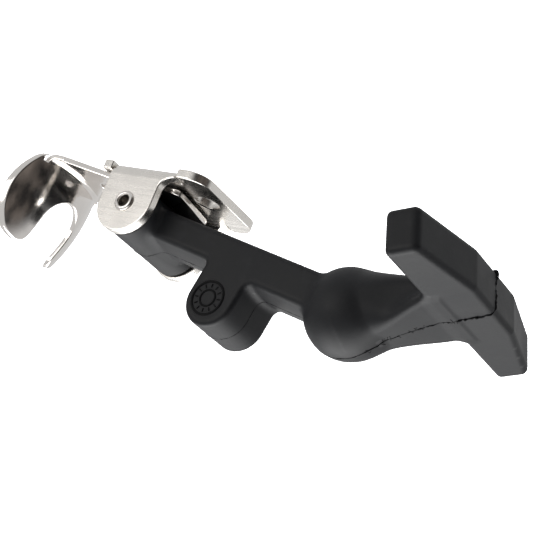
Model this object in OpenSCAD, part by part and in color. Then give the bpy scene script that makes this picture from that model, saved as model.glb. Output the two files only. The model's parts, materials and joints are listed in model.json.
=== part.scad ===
// Rubber T-handle draw latch with a U bracket, a riveted pivot and a loose forked keeper.
// Z is up, the mounting face of the bracket lies on Z = 0 and the pivot runs along Y.

/* [Bracket] */
// Thickness of the bracket sheet
bracket_t = 2.4; // [2:0.1:3]
// Width over the outside of the two ears
bracket_w = 29.6; // [28:0.5:32]
// Radius of the round end of each ear, half the ear's width
ear_r = 8; // [7.5:0.25:9]
// Height of the rivet above the inner face of the plate
pivot_rise = 8.1; // [8:0.1:9]
// Length of plate behind the pivot
plate_back = 11.3; // [10.5:0.1:14]
// Length of plate in front of the pivot, up to the flange's end
plate_front = 19.6; // [18.5:0.5:26]
// Radius of the flange's two corners
flange_corner = 5.5; // [1:0.5:6]
// Inner radius of the two bends
bend_r = 1.2; // [0.8:0.1:1.2]
// Diameter of the screw hole in the flange
screw_d = 6.6; // [4:0.1:7]
// Distance from the pivot to the screw hole
screw_x = 13.6; // [13:0.1:14]
// Sideways offset of the screw hole from the bracket's middle
screw_y = 1.5; // [-2:0.1:2]

/* [Rivet] */
// Diameter of the rivet's shank
rivet_d = 4.4; // [4:0.1:4.6]
// Diameter of the hole in the rivet's tubular end
rivet_bore = 2.9; // [2:0.1:3.2]
// Diameter of the rolled-over end
roll_d = 5.4; // [5.2:0.1:6.6]
// Diameter of the factory head
head_d = 8; // [7:0.5:9]
// Height of the factory head
head_h = 1.4; // [1:0.1:2]
// Outer diameter of the spacer sleeve between the ears
sleeve_d = 6; // [5.6:0.1:6.4]

/* [Rubber latch] */
// Outer radius of the hub
hub_r = 6.95; // [6.5:0.05:7]
// Width of the hub along the pivot
hub_w = 24; // [20:0.1:24.4]
// How far the hub hangs off the rivet's axis, within its own play
hub_play = 0.8; // [0.7:0.05:1]
// Angle of the strap above the mounting face
rest_tilt = 11; // [9:0.5:14]
// Width of the strap and of the lug
strap_w = 16.4; // [14:0.1:18]
// Depth of the strap below the hub's axis
strap_low = 4.6; // [4:0.1:5]
// Height of the strap above the hub's axis, between hub and lug
strap_high = 2.9; // [2:0.1:4]
// Height of the strap above the hub's axis, between lug and bulb
strap_high_far = 4.3; // [3:0.1:5]
// Distance from the hub to the lug
lug_x = 33.2; // [30:0.1:36]
// Height of the centre of the lug's round end
lug_z = 11.5; // [9:0.1:13]
// Radius of the lug's round end
lug_r = 6.8; // [5:0.1:8]
// Distance from the hub to the centre of the bulb
bulb_x = 64.5; // [58:0.1:68]
// Radius of the bulb
bulb_r = 10.9; // [9:0.1:12]

/* [Handle] */
// Length of the T bar
bar_len = 66.6; // [56:1:72]
// Height of the T bar's inner face
bar_h = 10.7; // [9:0.1:12]
// Thickness of the T bar at its ends
bar_t_end = 7.6; // [6:0.1:9]
// Thickness of the T bar in the middle
bar_t_mid = 12; // [10:0.1:14]
// Length of the flat in the middle of the outer face
bar_flat = 22.8; // [16:0.2:28]
// Angle of the T bar's outward direction below the strap
bar_tilt = 29.8; // [24:0.2:36]
// Distance from the hub to the upper inner edge of the T bar
bar_x = 87.1; // [82:0.1:90]
// Height of that edge below the hub's axis
bar_drop = 6.7; // [5:0.1:9]

/* [Keeper] */
// Thickness of the keeper's sheet
keeper_t = 1.4; // [1.2:0.1:1.5]
// Width of the keeper's plate inside the bracket
keeper_w = 18.8; // [17:0.2:18.8]
// Width of the keeper's plate where it meets the fork
keeper_w_fork = 24.6; // [22:0.2:26]
// Length of the keeper's plate up to the fork's front face
keeper_len = 32.7; // [28:0.1:40]
// Turn of the keeper about the vertical, as it lies in the bracket
keeper_yaw = 7; // [3:0.5:7]
// Tilt of the keeper, fork end down
keeper_tilt = 1.6; // [1.4:0.1:1.8]
// Outer radius of the fork's horseshoe
fork_r = 16.8; // [16:0.2:20]
// Height of the centre of that horseshoe above the keeper's plate
fork_zc = 10.7; // [10:0.1:13]
// Height of the fork's tips
fork_h = 23.6; // [21:0.1:26]
// Half-width of the fork's notch
notch_r = 6.7; // [6:0.1:8]
// Height of the centre of the notch's round end
notch_zc = 15; // [14:0.1:17]
// Radius that the fork is curved to across its width
fork_curve = 23; // [22:1:40]
// Radius that the fork is curved to along its height, away from the bracket
fork_belly = 50; // [40:1:120]
// Diameter of the keeper's screw hole
keeper_hole_d = 5.4; // [4:0.1:6.5]
// Distance from the keeper's end to its screw hole
keeper_hole_x = 24.2; // [20:0.1:26]
// Sideways offset of the keeper's screw hole from the plate's middle
keeper_hole_y = 2; // [-2:0.1:3]

/* [Hidden] */

eps = 0.01;
big = 200;
fine = 96;
curve_fine = 180;

pivot_z = bracket_t + pivot_rise;
half_w = bracket_w / 2;
inner_w = bracket_w - 2 * bracket_t;
bend_out = bend_r + bracket_t;
ear_hole_d = rivet_d + 0.2;
flare_r = 3.4;
side_inset = 1;

roll_h = 0.7;
roll_round = 0.35;
bore_depth = 7;

hub_z = pivot_z + hub_play;
hub_bore_r = sleeve_d / 2 + hub_play + 0.05;
strap_start = 3;
strap_end = 60;
lug_fillet = 2.2;
web_x = 5.6;
web_r = 3.1;
neck_r = 7.6;
neck_inset = 0.5;
neck_foot = 3;
neck_facets = 32;

keeper_gap = 0.15;
end_x = 9.4;
end_y = 0.1;
keeper_z = bracket_t + keeper_gap + (end_x + plate_back) * tan(keeper_tilt);
keeper_corner = 2.5;
tip_r = 3.6;
fork_y = 1.7;
belly_z = 4.2;
relief_depth = 2.6;
relief_side = 1.2;
keeper_flare_x = 18.4;
plate_overrun = 8;

// Outline of the flat plate, with rounded corners at the flange's end
module plate_outline() {
    difference() {
        translate([-plate_back, -half_w]) square([plate_back + plate_front, bracket_w]);
        for (s = [-1, 1]) translate([plate_front, s * half_w]) difference() {
            translate([-flange_corner, s > 0 ? -flange_corner : 0]) square(flange_corner);
            translate([-flange_corner, -s * flange_corner]) circle(flange_corner, $fn = fine);
        }
    }
}

// One upright side of the bent channel with its bend, seen along X
module channel_side() {
    translate([half_w - bracket_t, bend_out]) square([bracket_t, big]);
    translate([half_w - bend_out, bend_out]) difference() {
        intersection() {
            circle(bend_out, $fn = fine);
            translate([0, -bend_out]) square(bend_out);
        }
        circle(bend_r, $fn = fine);
    }
}

// Outline of an ear seen along Y, with the flare where it runs into the flange
module ear_outline() {
    translate([0, pivot_z]) circle(ear_r, $fn = fine);
    translate([-ear_r, 0]) square([2 * ear_r, pivot_z]);
    translate([ear_r - eps, 0]) difference() {
        square([flare_r, bracket_t + flare_r]);
        translate([flare_r, bracket_t + flare_r]) circle(flare_r, $fn = fine);
    }
}

module along_x(len) rotate([90, 0, 90]) linear_extrude(len) children();
module along_y(len) rotate([90, 0, 0]) linear_extrude(len, center = true) children();

// Stainless sheet bracket: plate, flange with a screw hole and two ears
module bracket() color([0.84, 0.82, 0.79]) difference() {
    union() {
        difference() {
            linear_extrude(bracket_t) plate_outline();
            for (s = [-1, 1]) translate([-ear_r, s > 0 ? half_w - bend_out : -half_w - eps, -eps])
                cube([2 * ear_r + flare_r, bend_out + eps, bracket_t + 2 * eps]);
        }
        for (s = [0, 1]) mirror([0, s, 0]) intersection() {
            translate([-ear_r - side_inset, 0, 0]) along_x(big) channel_side();
            along_y(big) ear_outline();
        }
    }
    translate([0, 0, pivot_z]) rotate([90, 0, 0])
        cylinder(d = ear_hole_d, h = big, center = true, $fn = fine);
    translate([screw_x, screw_y, -1]) cylinder(d = screw_d, h = bracket_t + 2, $fn = fine);
}

// Section of the semi-tubular rivet, turned about its own axis
module rivet_section() difference() {
    union() {
        translate([0, -half_w]) square([rivet_d / 2, bracket_w + roll_h - roll_round]);
        translate([0, half_w]) square([roll_d / 2 - roll_round, roll_h]);
        translate([roll_d / 2 - roll_round, half_w]) intersection() {
            circle(roll_h, $fn = fine);
            square(roll_h);
        }
        intersection() {
            translate([0, -half_w - head_h]) square([head_d / 2, head_h]);
            translate([0, -half_w - head_h + dome_r]) circle(dome_r, $fn = fine);
        }
    }
    translate([-eps, half_w + roll_h - bore_depth]) square([rivet_bore / 2 + eps, bore_depth + 1]);
}
dome_r = (head_d * head_d / 4 + head_h * head_h) / (2 * head_h);

module pivot_rivet() color([0.74, 0.72, 0.7])
    translate([0, 0, pivot_z]) rotate([-90, 0, 0]) rotate_extrude($fn = fine) rivet_section();

// Spacer sleeve that keeps the ears apart under the rivet
module pivot_sleeve() color([0.7, 0.66, 0.58])
    translate([0, 0, pivot_z]) rotate([90, 0, 0]) difference() {
        cylinder(d = sleeve_d, h = inner_w, center = true, $fn = fine);
        cylinder(d = ear_hole_d, h = inner_w + 1, center = true, $fn = fine);
    }

// Side view of the strap with its lug
module strap_outline() {
    translate([strap_start, -strap_low]) square([strap_end - strap_start, strap_low + strap_high]);
    translate([lug_x, -strap_low]) square([strap_end - lug_x, strap_low + strap_high_far]);
    translate([lug_x, lug_z]) circle(lug_r, $fn = fine);
    translate([lug_x - lug_r, 0]) square([2 * lug_r, lug_z]);
    translate([lug_x - lug_r, strap_high]) mirror([1, 0]) inner_round(lug_fillet);
    translate([lug_x + lug_r, strap_high_far]) inner_round(lug_fillet);
    translate([web_x, strap_high]) inner_round(web_r);
}

// Fillet in the corner between +X and +Y
module inner_round(r) translate([-eps, -eps]) difference() {
    square(r);
    translate([r, r]) circle(r, $fn = fine);
}

// Plan of the T bar: straight inside, three flats outside
module bar_plan() polygon([
    [0, -bar_len / 2], [bar_t_end, -bar_len / 2], [bar_t_mid, -bar_flat / 2],
    [bar_t_mid, bar_flat / 2], [bar_t_end, bar_len / 2], [0, bar_len / 2]]);

module neck() hull() {
    translate([bulb_x, 0, 0]) sphere(bulb_r - neck_inset, $fn = neck_facets);
    translate([bar_x, 0, -bar_drop]) rotate([0, bar_tilt, 0]) translate([0, -neck_r, -bar_h])
        cube([neck_foot, 2 * neck_r, bar_h]);
}

// One-piece rubber body: hub, strap, lug, bulb, neck and T bar
module rubber_latch() color([0.15, 0.15, 0.16])
    translate([0, 0, hub_z]) rotate([0, -rest_tilt, 0]) difference() {
        union() {
            rotate([90, 0, 0]) cylinder(r = hub_r, h = hub_w, center = true, $fn = fine);
            along_y(strap_w) strap_outline();
            translate([bulb_x, 0, 0]) sphere(bulb_r, $fn = fine);
            neck();
            translate([bar_x, 0, -bar_drop]) rotate([0, bar_tilt, 0])
                translate([0, 0, -bar_h]) linear_extrude(bar_h) bar_plan();
        }
        rotate([90, 0, 0]) cylinder(r = hub_bore_r, h = hub_w + 2, center = true, $fn = fine);
    }

// Horseshoe seen along X, with its notch open at the top
module fork_outline() difference() {
    intersection() {
        translate([0, fork_zc]) circle(fork_r, $fn = fine);
        union() {
            translate([-fork_r, 0]) square([2 * fork_r, fork_h - tip_r]);
            for (s = [-1, 1]) translate([s * (notch_r + tip_r), fork_h - tip_r]) circle(tip_r, $fn = fine);
        }
    }
    translate([0, notch_zc]) circle(notch_r, $fn = fine);
    translate([-notch_r, notch_zc]) square([2 * notch_r, fork_h]);
    for (s = [-1, 1]) translate([s > 0 ? keeper_w_fork / 2 : -keeper_w_fork / 2 - relief_side, -1])
        square([relief_side, relief_depth + 1]);
}

// Sheet curved both ways, as a barrel is, and cut to the horseshoe
module fork() translate([-keeper_len, fork_y, 0]) intersection() {
    translate([-fork_curve, 0, belly_z]) rotate_extrude($fn = curve_fine) intersection() {
        translate([fork_curve - fork_belly, 0]) difference() {
            circle(fork_belly, $fn = curve_fine);
            circle(fork_belly - keeper_t, $fn = curve_fine);
        }
        translate([0, -fork_h]) square([fork_curve, 2 * fork_h]);
    }
    translate([-fork_curve / 2, 0, 0]) along_x(fork_curve) fork_outline();
}

// Plan of the keeper's plate, widening from the bracket to the fork's curved front
module keeper_plan() difference() {
    polygon([[0, -keeper_w / 2], [0, keeper_w / 2], [-keeper_flare_x, keeper_w / 2],
        [-keeper_len, fork_y + keeper_w_fork / 2], [-keeper_len - plate_overrun, fork_y + keeper_w_fork / 2],
        [-keeper_len - plate_overrun, fork_y - keeper_w_fork / 2], [-keeper_len, fork_y - keeper_w_fork / 2],
        [-keeper_flare_x, -keeper_w / 2]]);
    translate([-keeper_len - fork_curve, fork_y]) circle(fork_curve - keeper_t, $fn = curve_fine);
    for (s = [-1, 1]) translate([0, s * keeper_w / 2]) difference() {
        translate([-keeper_corner, s > 0 ? -keeper_corner : 0]) square(keeper_corner);
        translate([-keeper_corner, -s * keeper_corner]) circle(keeper_corner, $fn = fine);
    }
    translate([-keeper_hole_x, keeper_hole_y]) circle(d = keeper_hole_d, $fn = fine);
}

// Loose sheet keeper: plate with a screw hole, bent up into the fork
module keeper() color([0.8, 0.78, 0.76])
    translate([end_x, end_y, keeper_z]) rotate([0, 0, -keeper_yaw]) rotate([0, -keeper_tilt, 0]) union() {
        linear_extrude(keeper_t) keeper_plan();
        fork();
    }

bracket();
pivot_rivet();
pivot_sleeve();
rubber_latch();
keeper();
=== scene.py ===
"""Looks of a rubber T-handle draw latch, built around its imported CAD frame.

Every moulded or pressed piece is described by a distance function in millimetres, negative inside.
It is turned into a mesh whose vertices lie on the surface, so rounded edges are real geometry.
"""

import json
import math

import bpy
import numpy as np
from mathutils import Matrix, Vector

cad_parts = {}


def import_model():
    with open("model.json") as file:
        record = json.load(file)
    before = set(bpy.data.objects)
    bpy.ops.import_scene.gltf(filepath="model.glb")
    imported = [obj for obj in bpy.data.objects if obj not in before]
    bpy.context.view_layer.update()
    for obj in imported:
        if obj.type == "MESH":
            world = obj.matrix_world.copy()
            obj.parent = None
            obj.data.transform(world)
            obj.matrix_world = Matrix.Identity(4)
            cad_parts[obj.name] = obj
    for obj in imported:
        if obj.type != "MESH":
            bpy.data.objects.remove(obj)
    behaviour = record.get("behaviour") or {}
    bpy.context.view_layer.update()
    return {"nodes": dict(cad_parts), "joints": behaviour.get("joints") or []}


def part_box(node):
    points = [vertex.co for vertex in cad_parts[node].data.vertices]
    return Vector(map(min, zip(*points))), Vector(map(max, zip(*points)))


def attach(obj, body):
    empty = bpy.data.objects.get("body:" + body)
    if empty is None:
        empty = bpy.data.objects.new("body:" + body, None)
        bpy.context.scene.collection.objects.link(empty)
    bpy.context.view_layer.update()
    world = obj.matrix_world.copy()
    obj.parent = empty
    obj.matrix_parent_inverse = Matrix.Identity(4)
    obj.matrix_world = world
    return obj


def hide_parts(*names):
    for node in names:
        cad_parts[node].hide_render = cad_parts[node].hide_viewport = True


MM = 0.001

# ---- Sizes in millimetres, as in the CAD model ----
BRACKET_T = 2.4
EAR_R = 8.0
PLATE_BACK = 11.3
PLATE_FRONT = 19.6
FLANGE_CORNER = 5.5
BEND_R = 1.2
BEND_CUT = 0.2
SHEET_EDGE = 0.25
CUT_EDGE = 0.2
PLATE_CORNER = 0.6
FLARE_R = 3.4
RELIEF_GAP = 0.5
SCREW_D = 6.6
SCREW_X = 13.6
SCREW_Y = 1.5
PIVOT_Z = 10.5

RIVET_D = 4.4
RIVET_BORE = 2.9
ROLL_D = 5.4
ROLL_R = 0.72
HEAD_D = 8.0
HEAD_H = 1.4
BORE_DEPTH = 7.0
HEAD_EDGE = 0.15
ROLL_FILLET = 0.2
BORE_LIP = 0.45

REST_TILT = 11.0
HUB_R = 6.95
HUB_W = 24.0
HUB_BORE = 3.85
HUB_EDGE = 0.7
HUB_FILLET = 1.6
HUB_BORE_EDGE = 0.4
STRAP_W = 16.4
STRAP_LOW = 4.6
STRAP_HIGH = 2.9
STRAP_HIGH_FAR = 4.3
STRAP_CROWN = 0.9
STRAP_EDGE = 1.1
LUG_X = 33.2
LUG_Z = 11.5
LUG_R = 6.8
LUG_FILLET = 2.2
BULB_X = 64.5
BULB_R = 10.9
BULB_FILLET = 1.0
NECK_W = 15.0
NECK_W_BULB = BULB_R - 1.1
NECK_TAPER = (BULB_X + 1, BULB_X + 15)
NECK_RISE = 40.0
NECK_TOP = 9.3
NECK_FALL = 0.12
NECK_LOW = 0.1
NECK_RIDGE = 2.0
NECK_EDGE = 3.0
NECK_EDGE_BULB = 6.5
NECK_FLARE = 5.0
NECK_FLARE_X = (76.0, 88.0)
NECK_FLARE_DEPTH = 6.0
NECK_SUNK = 2.2
NECK_FILLET_LOW = 0.3
NECK_FILLET_MORE = 1.4
NECK_FILLET_Z = (-2.0, 4.0)
BAR_LEN = 66.6
BAR_H = 10.7
BAR_T_END = 7.6
BAR_T_MID = 12.0
BAR_FLAT = 22.8
BAR_TILT = 29.8
BAR_X = 87.1
BAR_DROP = 6.7
BAR_EDGE = 1.5
BAR_FILLET = 2.0

KEEPER_T = 1.4
KEEPER_W = 18.8
KEEPER_W_FORK = 24.6
KEEPER_FLARE_X = 18.4
KEEPER_LEN = 32.7
KEEPER_YAW = 7.0
KEEPER_TILT = 1.6
KEEPER_END = (9.4, 0.1)
KEEPER_GAP = 0.15
KEEPER_CORNER = 2.5
KEEPER_BEND = 1.1
KEEPER_EDGE = 0.28
KEEPER_OVERLAP = 0.8
KEEPER_HOLE_D = 5.4
KEEPER_HOLE_X = 24.2
KEEPER_HOLE_Y = 2.0
FORK_R = 16.8
FORK_ZC = 10.7
FORK_H = 23.6
FORK_CORNER = 2.4
FORK_Y = 1.7
FORK_CURVE = 23.0
FORK_BELLY = 50.0
BELLY_Z = 4.2
NOTCH_R = 6.7
NOTCH_ZC = 15.0
NOTCH_EDGE = 2.6
RELIEF_DEPTH = 2.6
RELIEF_SIDE = 1.2
RELIEF_EDGE = 0.3

# ---- Moulded details of the rubber: flash, its nib and nicks, and the date ring ----
FLASH_STEP = 0.25
FLASH_STEPS = 1200
FLASH_CLOSE = 20
NIB_SPREAD = 0.9
NIB_H = 0.8
FLASH_SUNK = 0.25
FLASH_SECTION = ((-1, -FLASH_SUNK), (-0.7, 0.55), (0, 1), (0.7, 0.55), (1, -FLASH_SUNK))
NICK_COUNT = 16
NICK_SEED = 21
NICK_X = (72, 90)
NICK_R = 0.11
NICK_ROOM = 0.3
NICK_CELL = 0.07
RING_OUTER_R = 4.25
RING_INNER_R = 2.05
RING_SHIFT = 0.6
TICK_COUNT = 12
TICK_AT = 3.15
TICK_HALF = 0.32
TICK_R = 0.2
TICK_TURN = 0.2
TICK_CELL = 0.08

# ---- Grid cells of the meshes ----
RUBBER_CELL = 0.45
SHEET_CELL = 0.22
RIVET_CELL = 0.14

# ---- Camera, as the photograph's: azimuth and elevation of the eye, its roll and its aim ----
VIEW_AZIMUTH = 143.95
VIEW_ELEVATION = 16.88
VIEW_ROLL = -158.38
VIEW_DISTANCE = 0.3903
VIEW_AIM = (0.0382, 0.0025, 0.0165)
LENS = 111.86
SENSOR = 36.0

# ---- Studio: a dark side for the steel to reflect, and a soft fill for the rubber ----
FLOOR_SIZE = 8.0
FLOOR_DROP = 0.13
DARK_SIDE = (0.86, 0.45, -0.22)
DARK_FROM, DARK_FULL = 0.58, 0.80
SIDE_GREY = (0.70, 0.70, 0.70, 1)
FILL_GREY = (0.25, 0.26, 0.29, 1)
WHITE = (1, 1, 1, 1)


# ---- Distance functions ----
def smax(a, b, r):
    """Intersection with its edge rounded to radius r."""
    return np.minimum(np.maximum(a, b), -r) + np.hypot(np.maximum(a + r, 0), np.maximum(b + r, 0))


def smin(a, b, r):
    """Union with its corner filled to radius r."""
    return -smax(-a, -b, r)


def slab(v, low, high):
    return np.maximum(low - v, v - high)


def ease(v, low, high):
    t = np.clip((v - low) / (high - low), 0, 1)
    return t * t * (3 - 2 * t)


def strap_shape(x, y, z):
    """The crowned strap with its lug. It is thicker beyond the lug."""
    crown = STRAP_CROWN * (1 - np.clip(2 * y / STRAP_W, -1, 1) ** 2)
    near = np.maximum(slab(x, 0, BULB_X), slab(z, -STRAP_LOW, STRAP_HIGH + crown))
    far = np.maximum(slab(x, LUG_X, BULB_X), slab(z, -STRAP_LOW, STRAP_HIGH_FAR + crown))
    lug = np.hypot(x - LUG_X, z - np.clip(z, LUG_R - 1, LUG_Z)) - LUG_R
    side = smin(np.minimum(near, far), lug, LUG_FILLET)
    return smax(side, np.abs(y) - STRAP_W / 2, STRAP_EDGE)


def bar_axes(x, z):
    """Distance out from the T bar's inner face, and distance down along it."""
    a = math.radians(BAR_TILT)
    dx, dz = x - BAR_X, z + BAR_DROP
    return dx * math.cos(a) - dz * math.sin(a), -dx * math.sin(a) - dz * math.cos(a)


def bar_shape(x, y, z):
    """The T bar, with its outer face bevelled towards both ends."""
    out, down = bar_axes(x, z)
    ay = np.abs(y)
    slope = (BAR_T_MID - BAR_T_END) / (BAR_LEN / 2 - BAR_FLAT / 2)
    bevel = (out - BAR_T_END - slope * (BAR_LEN / 2 - ay)) / math.hypot(1, slope)
    plan = smax(np.maximum(slab(out, 0, BAR_T_MID), bevel), ay - BAR_LEN / 2, BAR_EDGE)
    return smax(plan, slab(down, 0, BAR_H), BAR_EDGE)


def neck_shape(x, y, z):
    """The neck from the bulb to the T bar. It widens along its upper edges near the bar."""
    dx = x - BULB_X
    rise = math.radians(NECK_RISE)
    upper = dx * math.sin(rise) + z * math.cos(rise) - NECK_TOP
    lower = (-NECK_FALL * dx - z) / math.hypot(1, NECK_FALL) - BULB_R + NECK_LOW
    near_bulb = 1 - ease(x, *NECK_TAPER)
    width = NECK_W / 2 + (NECK_W_BULB - NECK_W / 2) * near_bulb
    width = width + NECK_FLARE * ease(x, *NECK_FLARE_X) * (1 - ease(-upper, 0, NECK_FLARE_DEPTH))
    out, _ = bar_axes(x, z)
    along = dx * math.cos(rise) - z * math.sin(rise)
    ends = np.maximum(np.maximum(-dx, -along), out - NECK_SUNK)
    edge = NECK_EDGE + NECK_EDGE_BULB * near_bulb
    return np.maximum(smax(smax(upper, lower, NECK_RIDGE), np.abs(y) - width, edge), ends)


def latch_shape(x, y, z):
    """The rubber body in its own frame: hub axis along Y at the origin, strap along X."""
    hub = smax(np.hypot(x, z) - HUB_R, np.abs(y) - HUB_W / 2, HUB_EDGE)
    body = smin(hub, strap_shape(x, y, z), HUB_FILLET)
    bulb = np.sqrt((x - BULB_X) ** 2 + y * y + z * z) - BULB_R
    fillet = NECK_FILLET_LOW + NECK_FILLET_MORE * ease(z, *NECK_FILLET_Z)
    bulb = smin(bulb, neck_shape(x, y, z), fillet)
    body = smin(body, bulb, BULB_FILLET)
    body = smin(body, bar_shape(x, y, z), BAR_FILLET)
    return smax(body, HUB_BORE - np.hypot(x, z), HUB_BORE_EDGE)


def bracket_shape(x, y, z, width):
    """The sheet bracket: plate, two bends and two ears, with reliefs cut beside the ears."""
    ay = np.abs(y)
    half = width / 2
    bend = BEND_R + BRACKET_T
    ear_end = EAR_R + FLARE_R
    rim = smax(smax(x - PLATE_FRONT, ay - half, FLANGE_CORNER), -x - PLATE_BACK, PLATE_CORNER)
    beside = half - bend - BEND_CUT - ay
    cut = np.maximum(slab(x, -EAR_R - RELIEF_GAP, ear_end + RELIEF_GAP), beside)
    plate = smax(slab(z, 0, BRACKET_T), smax(rim, -cut, CUT_EDGE), SHEET_EDGE)
    cy, cz = half - bend, bend
    wall = np.where(z >= cz, ay - cy, np.where(ay <= cy, cz - z, np.hypot(ay - cy, z - cz)))
    channel = np.abs(wall - BEND_R - BRACKET_T / 2) - BRACKET_T / 2
    ear = np.hypot(x, np.maximum(z - PIVOT_Z, 0)) - EAR_R
    outline = np.maximum(smin(ear, z - BRACKET_T, FLARE_R), slab(x, -EAR_R, ear_end))
    sides = smax(channel, np.maximum(outline, cy - 1 - ay), SHEET_EDGE)
    body = np.minimum(plate, sides)
    body = smax(body, RIVET_D / 2 + 0.1 - np.hypot(x, z - PIVOT_Z), CUT_EDGE)
    return smax(body, SCREW_D / 2 - np.hypot(x - SCREW_X, y - SCREW_Y), SHEET_EDGE)


def rivet_shape(x, y, z, width):
    """Semi-tubular rivet along Y, rolled over at +Y."""
    rho = np.hypot(x, z - PIVOT_Z)
    half = width / 2
    shank = np.maximum(rho - RIVET_D / 2, slab(y, -half, half + 0.2))
    ring = np.hypot(rho - ROLL_D / 2 + ROLL_R, y - half) - ROLL_R
    ring = np.maximum(ring, half - 0.05 - y)
    dome_r = (HEAD_D ** 2 / 4 + HEAD_H ** 2) / (2 * HEAD_H)
    dome = np.hypot(rho, y + half + HEAD_H - dome_r) - dome_r
    head = smax(dome, y + half, HEAD_EDGE)
    body = np.minimum(smin(shank, ring, ROLL_FILLET), head)
    bore = np.maximum(rho - RIVET_BORE / 2, half - BORE_DEPTH - y)
    return smax(body, -bore, BORE_LIP)


def keeper_shape(x, y, z):
    """The sheet keeper in its own frame: plate end at the origin, fork standing at -X."""
    yf = y - FORK_Y
    across = np.hypot(x + KEEPER_LEN + FORK_CURVE, yf) + FORK_BELLY - FORK_CURVE
    xf = np.hypot(across, z - BELLY_Z) - FORK_BELLY
    outer = smax(-z, -xf - KEEPER_T, KEEPER_T + KEEPER_BEND)
    inner = smax(KEEPER_T - z, -xf, KEEPER_BEND)
    sheet = np.maximum(outer, -inner)
    flare = np.clip((-x - KEEPER_FLARE_X) / (KEEPER_LEN - KEEPER_FLARE_X), 0, 1)
    half = KEEPER_W / 2 + (KEEPER_W_FORK - KEEPER_W) / 2 * flare
    plate = smax(np.abs(y - FORK_Y * flare) - half, x, KEEPER_CORNER)
    plate = np.maximum(plate, z - KEEPER_T - KEEPER_OVERLAP)
    horseshoe = smax(np.hypot(yf, z - FORK_ZC) - FORK_R, z - FORK_H, FORK_CORNER)
    notch = np.hypot(yf, np.minimum(z - NOTCH_ZC, 0)) - NOTCH_R
    fork = smax(horseshoe, -notch, NOTCH_EDGE)
    side = np.abs(yf) - KEEPER_W_FORK / 2
    relief = np.maximum(slab(side, 0, RELIEF_SIDE), z - RELIEF_DEPTH)
    fork = np.maximum(smax(fork, -relief, RELIEF_EDGE), xf - KEEPER_OVERLAP)
    body = smax(sheet, np.minimum(plate, fork), KEEPER_EDGE)
    from_hole = np.hypot(x + KEEPER_HOLE_X, y - KEEPER_HOLE_Y)
    hole = np.maximum(from_hole - KEEPER_HOLE_D / 2, z - 3)
    return smax(body, -hole, SHEET_EDGE)


# ---- Meshing ----
def surface_mesh(name, shape, low, high, cell):
    """A closed mesh of the surface where shape is zero, one vertex to each cell it crosses."""
    low = np.array(low, float)
    count = np.ceil((np.array(high, float) - low) / cell).astype(int) + 1
    axes = [low[i] + cell * np.arange(count[i]) for i in range(3)]
    value = np.empty(count, np.float32)
    for i in range(0, count[0], 16):
        value[i:i + 16] = shape(*np.meshgrid(axes[0][i:i + 16], axes[1], axes[2], indexing="ij"))
    inside = value < 0
    held = np.zeros(count - 1, np.int8)
    corners = [(i, j, k) for i in (0, 1) for j in (0, 1) for k in (0, 1)]
    for i, j, k in corners:
        held += inside[i:count[0] - 1 + i, j:count[1] - 1 + j, k:count[2] - 1 + k]
    cells = np.argwhere((held > 0) & (held < 8))
    index = np.full(count - 1, -1, np.int32)
    index[tuple(cells.T)] = np.arange(len(cells))

    total = np.zeros((len(cells), 3))
    crossings = np.zeros(len(cells))
    for a in corners:
        for axis in range(3):
            if a[axis]:
                continue
            b = list(a)
            b[axis] = 1
            va = value[tuple((cells + a).T)]
            vb = value[tuple((cells + b).T)]
            hit = (va < 0) != (vb < 0)
            point = np.array(a, float) + np.zeros((int(hit.sum()), 3))
            point[:, axis] = va[hit] / (va[hit] - vb[hit])
            total[hit] += point
            crossings[hit] += 1
    points = low + cell * (cells + total / crossings[:, None])

    step = cell * 0.1
    for _ in range(3):
        p = points.T
        here = shape(*p)
        ahead = [shape(*(p + step * np.eye(3)[i][:, None])) - here for i in range(3)]
        slope = np.stack(ahead, 1) / step
        move = -here[:, None] * slope / np.maximum((slope ** 2).sum(1), 0.25)[:, None]
        moved = points + np.clip(move, -0.5 * cell, 0.5 * cell)
        closer = np.abs(shape(*moved.T)) < np.abs(here)
        points[closer] = moved[closer]

    faces = []
    for axis in range(3):
        u, v = (axis + 1) % 3, (axis + 2) % 3
        a = np.moveaxis(inside, (axis, u, v), (0, 1, 2))
        grid = np.moveaxis(index, (axis, u, v), (0, 1, 2))
        edge = np.argwhere(a[:-1, 1:-1, 1:-1] != a[1:, 1:-1, 1:-1])
        s, i, j = edge[:, 0], edge[:, 1] + 1, edge[:, 2] + 1
        quad = np.stack([grid[s, i - 1, j - 1], grid[s, i, j - 1],
                         grid[s, i, j], grid[s, i - 1, j]], 1)
        turned = ~a[s, i, j]
        quad[turned] = quad[turned][:, ::-1]
        faces.append(quad)
    faces = np.concatenate(faces)
    return make_mesh(name, points * MM, faces)


def make_mesh(name, points, faces):
    mesh = bpy.data.meshes.new(name)
    mesh.from_pydata([tuple(p) for p in points], [], [tuple(int(i) for i in f) for f in faces])
    mesh.validate()
    mesh.polygons.foreach_set("use_smooth", [True] * len(mesh.polygons))
    mesh.update()
    piece = bpy.data.objects.new(name, mesh)
    bpy.context.scene.collection.objects.link(piece)
    return piece


def place(piece, matrix):
    piece.data.transform(matrix)
    piece.data.update()
    return piece


# ---- Flash and date ring: small moulded details of the rubber ----
def trace_outline(shape, start, step, count):
    """Points that follow the surface in the plane y = 0, with their outward normals."""
    def value(p):
        return float(shape(np.array([p[0]]), np.array([0.0]), np.array([p[1]]))[0])

    def slope(p):
        h = 0.02
        g = np.array([value(p + (h, 0)) - value(p - (h, 0)),
                      value(p + (0, h)) - value(p - (0, h))])
        return g / max(np.linalg.norm(g), 1e-6)

    point = np.array(start, float)
    points, normals = [], []
    for _ in range(count):
        for _ in range(3):
            point = point - value(point) * slope(point)
        normal = slope(point)
        points.append(point.copy())
        normals.append(normal)
        point = point + step * np.array([normal[1], -normal[0]])
    return np.array(points), np.array(normals)


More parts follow.
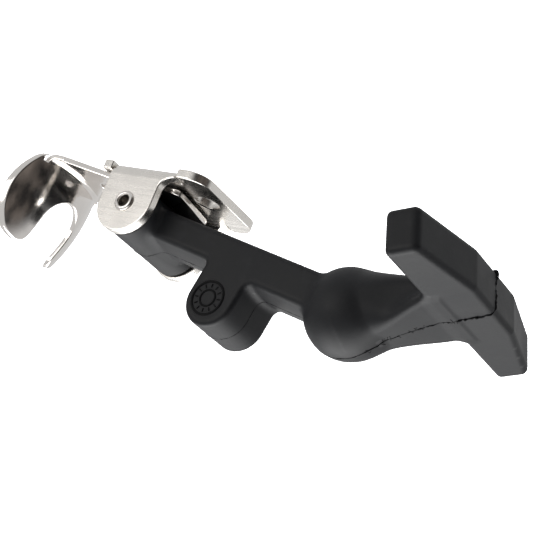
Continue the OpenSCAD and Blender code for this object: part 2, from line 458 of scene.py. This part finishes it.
def flash_height(x, z, wave):
    """Height of the moulding flash: thin and broken, stronger towards the T bar."""
    tilt = math.radians(BAR_TILT)
    nib_x = BAR_X + BAR_T_MID * math.cos(tilt) - BAR_H * math.sin(tilt)
    nib_z = -BAR_DROP - BAR_T_MID * math.sin(tilt) - BAR_H * math.cos(tilt)
    nib = NIB_H * np.exp(-((x - nib_x) ** 2 + (z - nib_z) ** 2) / NIB_SPREAD ** 2)
    base = 0.10 + 0.2 * ease(x, BULB_X - 6, BULB_X + 20) + 0.16 * ease(x, BAR_X - 4, BAR_X + 6)
    return base * (0.55 + 0.75 * np.clip(wave, -0.6, 1)) + nib


def smooth_noise(seed, pitch):
    """A repeatable random wave of the distance s, from -1 to 1."""
    values = np.random.default_rng(seed).uniform(-1, 1, 4096)

    def wave(s):
        t = s / pitch
        i = np.floor(t).astype(int)
        f = t - i
        f = f * f * (3 - 2 * f)
        return values[i % 4096] * (1 - f) + values[(i + 1) % 4096] * f
    return wave


def parting_flash(points, normals):
    """A thin uneven ridge along the outline, its foot sunk in the rubber."""
    s = np.arange(len(points)) * FLASH_STEP
    coarse, fine = smooth_noise(3, 2.1), smooth_noise(5, 0.55)
    height = flash_height(points[:, 0], points[:, 1], 0.6 * coarse(s) + 0.6 * fine(s))
    strong = ease(points[:, 0], BULB_X, BAR_X)
    sway = (0.10 + 0.22 * strong) * smooth_noise(8, 1.4)(s)
    half = 0.13 + 0.13 * strong + (0.04 + 0.10 * strong) * fine(s + 40)
    rings = []
    for side, share in FLASH_SECTION:
        lift = np.where(share > 0, height * share, -FLASH_SUNK)
        at = points + normals * lift[:, None]
        rings.append(np.stack([at[:, 0], sway + side * half, at[:, 1]], 1))
    rings = np.stack(rings, 1)
    count, width = rings.shape[:2]
    faces = []
    for i in range(count):
        for j in range(width):
            a, b = i * width + j, i * width + (j + 1) % width
            c, d = ((i + 1) % count) * width + (j + 1) % width, ((i + 1) % count) * width + j
            faces.append((a, b, c, d))
    return make_mesh("parting_flash", rings.reshape(-1, 3) * MM, np.array(faces))


def flash_nicks(points, normals):
    """Short torn marks that cross the flash where the neck runs into the T bar."""
    rng = np.random.default_rng(NICK_SEED)
    x = points[:, 0]
    near = np.flatnonzero((x > NICK_X[0]) & (x < NICK_X[1]) & (normals[:, 1] > 0.3))
    parts = []
    for i in rng.choice(near, NICK_COUNT, replace=False):
        reach, turn, side = rng.uniform(0.4, 1.1), rng.uniform(-0.7, 0.7), rng.uniform(-0.8, 0.8)
        room = (NICK_ROOM, reach + NICK_ROOM, NICK_ROOM)
        nick = surface_mesh("nick", lambda x, y, z: np.sqrt(
            x * x + np.maximum(np.abs(y) - reach, 0) ** 2 + 2 * z * z) - NICK_R,
            tuple(-r for r in room), room, NICK_CELL)
        lean = math.atan2(normals[i, 0], normals[i, 1])
        spot = Vector((points[i, 0], side, points[i, 1])) * MM
        parts.append(place(nick, Matrix.Translation(spot) @ Matrix.Rotation(lean, 4, "Y")
                           @ Matrix.Rotation(turn, 4, "Z")))
    return parts


def lathe(name, profile, turns=96):
    """A closed ring turned about the Y axis from (radius, height) points."""
    points, faces = [], []
    n = len(profile)
    for i in range(turns):
        a = 2 * math.pi * i / turns
        points += [(r * math.cos(a), h, r * math.sin(a)) for r, h in profile]
    for i in range(turns):
        for j in range(n):
            a, b = i * n + j, i * n + (j + 1) % n
            c, d = ((i + 1) % turns) * n + (j + 1) % n, ((i + 1) % turns) * n + j
            faces.append((a, d, c, b))
    return make_mesh(name, np.array(points) * MM, np.array(faces))


def bead(radius, height, width):
    """Section of a low rounded ridge, sunk a little below the surface."""
    arc = [(radius + width / 2 * math.cos(a), height * math.sin(a))
           for a in np.linspace(0, math.pi, 9)]
    return arc + [(radius - width / 2, -0.3), (radius + width / 2, -0.3)]


def date_ring():
    """The mould's date-clock mark on the lug: two ridges, with plain ticks and no figures."""
    parts = [lathe("ring_outer", bead(RING_OUTER_R, 0.26, 0.7)),
             lathe("ring_inner", bead(RING_INNER_R, 0.22, 0.6))]
    for i in range(TICK_COUNT):
        tick = surface_mesh("tick", lambda x, y, z: np.sqrt(
            np.maximum(np.abs(x) - TICK_HALF, 0) ** 2 + y * y + z * z) - TICK_R,
            (-0.7, -0.3, -0.3), (0.7, 0.3, 0.3), TICK_CELL)
        angle = 2 * math.pi * i / TICK_COUNT + TICK_TURN
        parts.append(place(tick, Matrix.Rotation(angle, 4, "Y")
                           @ Matrix.Translation((TICK_AT * MM, 0, 0))))
    ring = join("date_ring", parts)
    return place(ring, Matrix.Translation(Vector((LUG_X - RING_SHIFT, STRAP_W / 2, LUG_Z)) * MM))


def join(name, parts):
    """Several pieces as one object."""
    verts, faces = [], []
    for part in parts:
        start = len(verts)
        verts += [tuple(v.co) for v in part.data.vertices]
        faces += [tuple(start + i for i in p.vertices) for p in part.data.polygons]
        bpy.data.objects.remove(part)
    mesh = bpy.data.meshes.new(name)
    mesh.from_pydata(verts, [], faces)
    mesh.polygons.foreach_set("use_smooth", [True] * len(mesh.polygons))
    piece = bpy.data.objects.new(name, mesh)
    bpy.context.scene.collection.objects.link(piece)
    return piece


# ---- Materials ----
class Nodes:
    """A short way to write a material's nodes."""

    def __init__(self, name):
        self.material = bpy.data.materials.new(name)
        self.material.use_nodes = True
        self.tree = self.material.node_tree
        self.bsdf = self.tree.nodes["Principled BSDF"]
        self.coords = self.tree.nodes.new("ShaderNodeTexCoord").outputs["Object"]

    def link(self, source, target):
        self.tree.links.new(source, target)

    def stretched(self, scale):
        mapping = self.tree.nodes.new("ShaderNodeMapping")
        mapping.inputs["Scale"].default_value = scale
        self.link(self.coords, mapping.inputs["Vector"])
        return mapping.outputs["Vector"]

    def noise(self, scale, detail=4, rough=0.55, vector=None):
        node = self.tree.nodes.new("ShaderNodeTexNoise")
        node.inputs["Scale"].default_value = scale
        node.inputs["Detail"].default_value = detail
        node.inputs["Roughness"].default_value = rough
        self.link(vector or self.coords, node.inputs["Vector"])
        return node.outputs["Fac"]

    def ramp(self, source, stops):
        node = self.tree.nodes.new("ShaderNodeValToRGB")
        elements = node.color_ramp.elements
        while len(elements) < len(stops):
            elements.new(0.5)
        for element, (position, value) in zip(elements, stops):
            element.position = position
            element.color = (*value, 1) if hasattr(value, "__len__") else (value, value, value, 1)
        self.link(source, node.inputs["Fac"])
        return node.outputs["Color"]

    def mix(self, factor, a, b, mode="MIX"):
        node = self.tree.nodes.new("ShaderNodeMix")
        node.data_type = "RGBA"
        node.blend_type = mode
        for name, value in (("Factor", factor), ("A", a), ("B", b)):
            socket = node.inputs[name]
            if isinstance(value, bpy.types.NodeSocket):
                self.link(value, socket)
            else:
                socket.default_value = value
        return node.outputs["Result"]

    def bump(self, layers):
        """Bumps laid on each other: (height, strength, distance) each."""
        normal = None
        for height, strength, distance in layers:
            node = self.tree.nodes.new("ShaderNodeBump")
            node.inputs["Strength"].default_value = strength
            node.inputs["Distance"].default_value = distance
            self.link(height, node.inputs["Height"])
            if normal:
                self.link(normal, node.inputs["Normal"])
            normal = node.outputs["Normal"]
        self.link(normal, self.bsdf.inputs["Normal"])

    def edges(self, low, high):
        """1 on convex edges, 0 elsewhere."""
        point = self.tree.nodes.new("ShaderNodeNewGeometry").outputs["Pointiness"]
        return self.ramp(point, [(low, 0.0), (high, 1.0)])


def rubber_material(name, tone, gloss):
    """Black rubber: cloudy, with a dusty bloom, paler edges and a fine moulded grain."""
    n = Nodes(name)
    cloud = n.noise(55, 5)
    bloom = n.noise(230, 6, 0.7)
    deep = (0.6 * tone, 0.65 * tone, 0.78 * tone)
    pale = (tone, 1.08 * tone, 1.3 * tone)
    base = n.ramp(cloud, [(0.3, deep), (0.7, pale)])
    dust = n.ramp(bloom, [(0.55, 0.0), (0.8, 0.35)])
    colour = n.mix(dust, base, (3 * tone, 3 * tone, 3.3 * tone, 1))
    worn = n.mix(n.edges(0.53, 0.62), colour, (4 * tone, 4 * tone, 4.2 * tone, 1))
    n.link(worn, n.bsdf.inputs["Base Color"])
    n.link(n.ramp(cloud, [(0.3, 0.42), (0.7, 0.56)]), n.bsdf.inputs["Roughness"])
    n.bsdf.inputs["Specular IOR Level"].default_value = gloss
    n.bump([(n.noise(420, 3), 0.25, 0.0001), (n.noise(2600, 2), 0.3, 0.00003)])
    return n.material


def steel_material(name, tint, rough, grain_scale, grain_strength):
    """Rolled steel, its grain drawn out along the axis with the smallest scale."""
    n = Nodes(name)
    grain = n.noise(1.0, 3, 0.6, n.stretched(grain_scale))
    cloud = n.noise(90, 4)
    dark = tuple(0.9 * c for c in tint)
    n.link(n.ramp(cloud, [(0.3, dark), (0.7, tint)]), n.bsdf.inputs["Base Color"])
    n.bsdf.inputs["Metallic"].default_value = 1.0
    spread = n.mix(0.5, n.ramp(grain, [(0.3, rough - 0.06), (0.7, rough + 0.08)]),
                   n.ramp(cloud, [(0.3, rough - 0.04), (0.7, rough + 0.06)]))
    n.link(spread, n.bsdf.inputs["Roughness"])
    n.bump([(grain, grain_strength, 0.00004), (n.noise(700, 3), 0.12, 0.00005)])
    return n.material


def paint(piece, material):
    piece.data.materials.clear()
    piece.data.materials.append(material)


# ---- Studio ----
def camera():
    azimuth, elevation = math.radians(VIEW_AZIMUTH), math.radians(VIEW_ELEVATION)
    back = Vector((math.sin(azimuth) * math.cos(elevation),
                   -math.cos(azimuth) * math.cos(elevation), math.sin(elevation)))
    level = Vector((0, 0, 1)).cross(back).normalized()
    above = back.cross(level)
    roll = math.radians(VIEW_ROLL)
    right = level * math.cos(roll) + above * math.sin(roll)
    up = back.cross(right)
    data = bpy.data.cameras.new("camera")
    data.lens = LENS
    data.sensor_width = SENSOR
    data.clip_start = 0.01
    data.clip_end = 50
    cam = bpy.data.objects.new("camera", data)
    cam.matrix_world = Matrix.Translation(Vector(VIEW_AIM) + back * VIEW_DISTANCE) @ Matrix(
        (right, up, back)).transposed().to_4x4()
    bpy.context.scene.collection.objects.link(cam)
    bpy.context.scene.camera = cam


def area_light(name, location, target, size, power, colour=(1, 1, 1)):
    data = bpy.data.lights.new(name, "AREA")
    data.shape = "RECTANGLE"
    data.size, data.size_y = size
    data.energy = power
    data.color = colour
    light = bpy.data.objects.new(name, data)
    light.location = location
    light.rotation_mode = "QUATERNION"
    light.rotation_quaternion = (Vector(target) - Vector(location)).to_track_quat("-Z", "Y")
    bpy.context.scene.collection.objects.link(light)


def pale_floor(low):
    z = low.z - FLOOR_DROP
    points = np.array([(-FLOOR_SIZE, -FLOOR_SIZE, z), (FLOOR_SIZE, -FLOOR_SIZE, z),
                       (FLOOR_SIZE, FLOOR_SIZE, z), (-FLOOR_SIZE, FLOOR_SIZE, z)])
    floor = make_mesh("floor", points, np.array([(0, 1, 2, 3)]))
    n = Nodes("floor")
    n.bsdf.inputs["Base Color"].default_value = (0.9, 0.9, 0.9, 1)
    n.bsdf.inputs["Roughness"].default_value = 0.9
    n.bsdf.inputs["Emission Color"].default_value = WHITE
    n.bsdf.inputs["Emission Strength"].default_value = 0.9
    floor.data.materials.append(n.material)
    floor.visible_glossy = False


def colour_mix(tree, factor, a, b):
    """A mix of two colours, each a socket or a value."""
    node = tree.nodes.new("ShaderNodeMix")
    node.data_type = "RGBA"
    tree.links.new(factor, node.inputs["Factor"])
    for key, value in (("A", a), ("B", b)):
        if isinstance(value, bpy.types.NodeSocket):
            tree.links.new(value, node.inputs[key])
        else:
            node.inputs[key].default_value = value
    return node.outputs["Result"]


def world_light():
    """Grey surroundings with a streaked dark side, a dimmer fill for diffuse rays, white behind."""
    world = bpy.data.worlds.new("studio")
    bpy.context.scene.world = world
    world.use_nodes = True
    tree = world.node_tree
    background = tree.nodes["Background"]
    background.inputs["Strength"].default_value = 1.0
    direction = tree.nodes.new("ShaderNodeTexCoord").outputs["Generated"]
    towards = tree.nodes.new("ShaderNodeVectorMath")
    towards.operation = "DOT_PRODUCT"
    towards.inputs[1].default_value = DARK_SIDE
    tree.links.new(direction, towards.inputs[0])
    lobe = tree.nodes.new("ShaderNodeMapRange")
    lobe.interpolation_type = "SMOOTHSTEP"
    lobe.inputs["From Min"].default_value = DARK_FROM
    lobe.inputs["From Max"].default_value = DARK_FULL
    lobe.inputs["To Min"].default_value = 0.0
    lobe.inputs["To Max"].default_value = 1.0
    tree.links.new(towards.outputs["Value"], lobe.inputs["Value"])
    streaks = tree.nodes.new("ShaderNodeTexNoise")
    streaks.inputs["Scale"].default_value = 4.0
    tree.links.new(direction, streaks.inputs["Vector"])
    dark = tree.nodes.new("ShaderNodeValToRGB")
    deep, pale = dark.color_ramp.elements
    deep.position, deep.color = 0.42, (0.012, 0.012, 0.013, 1)
    pale.position, pale.color = 0.72, (0.22, 0.19, 0.17, 1)
    tree.links.new(streaks.outputs["Fac"], dark.inputs["Fac"])
    path = tree.nodes.new("ShaderNodeLightPath")
    sides = colour_mix(tree, lobe.outputs["Result"], SIDE_GREY, dark.outputs["Color"])
    fill = colour_mix(tree, path.outputs["Is Diffuse Ray"], sides, FILL_GREY)
    seen = colour_mix(tree, path.outputs["Is Camera Ray"], fill, WHITE)
    tree.links.new(seen, background.inputs["Color"])


def studio(low):
    pale_floor(low)
    area_light("overhead", (0.0, -0.25, 0.75), (0.03, 0, 0), (1.1, 0.9), 17)
    area_light("front", (-0.35, 0.9, 0.05), (0.0, 0, 0.01), (0.7, 0.5), 3, (1, 0.97, 0.93))
    world_light()
    bpy.context.scene.view_settings.view_transform = "Standard"


# ---- The object ----
def keeper_place():
    """Where the loose keeper lies: turned, and tipped up so that it clears the bracket's plate."""
    tilt = math.radians(KEEPER_TILT)
    height = BRACKET_T + KEEPER_GAP + (KEEPER_END[0] + PLATE_BACK) * math.tan(tilt)
    return (Matrix.Translation(Vector((*KEEPER_END, height)) * MM)
            @ Matrix.Rotation(math.radians(-KEEPER_YAW), 4, "Z")
            @ Matrix.Rotation(-tilt, 4, "Y"))


def main():
    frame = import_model()
    pivot = next(j for j in frame["joints"] if j["name"] == "latch_pivot")["pos_m"]
    low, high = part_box("bracket")
    width = (high.y - low.y) / MM
    camera()
    studio(low)

    rubber = rubber_material("black_rubber", 0.005, 0.2)
    # A darker, less glossy copy of the black rubber for the flash and the date ring: painted shade,
    # standing in for the shadow along the flash's crack and in the ring's recess.
    shade_painted_rubber = rubber_material("painted_shade_rubber", 0.002, 0.08)
    sheet = steel_material("stainless_sheet", (0.80, 0.77, 0.73), 0.24, (40, 900, 900), 0.25)
    polished = steel_material("keeper_sheet", (0.78, 0.75, 0.72), 0.14, (60, 700, 700), 0.12)
    rivet_steel = steel_material("rivet_steel", (0.72, 0.69, 0.66), 0.2, (500, 60, 500), 0.2)
    sleeve_steel = steel_material("sleeve_steel", (0.60, 0.57, 0.53), 0.32, (500, 60, 500), 0.3)

    hang = Matrix.Translation(pivot) @ Matrix.Rotation(-math.radians(REST_TILT), 4, "Y")
    latch = surface_mesh("latch_rubber", latch_shape,
                         (-8, -34.5, -24), (101, 34.5, 20), RUBBER_CELL)
    points, normals = trace_outline(latch_shape, (30, -STRAP_LOW), FLASH_STEP, FLASH_STEPS)
    home = np.linalg.norm(points[FLASH_CLOSE:] - points[0], axis=1).argmin() + FLASH_CLOSE
    flash = join("parting_flash", [parting_flash(points[:home], normals[:home])]
                 + flash_nicks(points[:home], normals[:home]))
    ring = date_ring()
    # The flash and the date ring take the darker rubber copy, which is painted shade.
    for piece, material in ((latch, rubber), (flash, shade_painted_rubber), (ring, shade_painted_rubber)):
        place(piece, hang)
        paint(piece, material)
        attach(piece, "latch")
    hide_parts("rubber_latch")

    bracket = surface_mesh("bracket_sheet", lambda x, y, z: bracket_shape(x, y, z, width),
                           (-12.2, -15.6, -0.8), (20.4, 15.6, 19.3), SHEET_CELL)
    paint(bracket, sheet)
    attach(bracket, "bracket_assembly")
    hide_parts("bracket")

    rivet = surface_mesh("rivet", lambda x, y, z: rivet_shape(x, y, z, width),
                         (-4.4, -17, 6), (4.4, 16.2, 15), RIVET_CELL)
    paint(rivet, rivet_steel)
    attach(rivet, "bracket_assembly")
    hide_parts("pivot_rivet")

    keeper = surface_mesh("keeper_sheet", keeper_shape,
                          (-47, -16.2, -0.7), (0.7, 19.6, 24.4), SHEET_CELL)
    place(keeper, keeper_place())
    paint(keeper, polished)
    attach(keeper, "loose_keeper")
    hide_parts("keeper")

    paint(frame["nodes"]["pivot_sleeve"], sleeve_steel)


main()
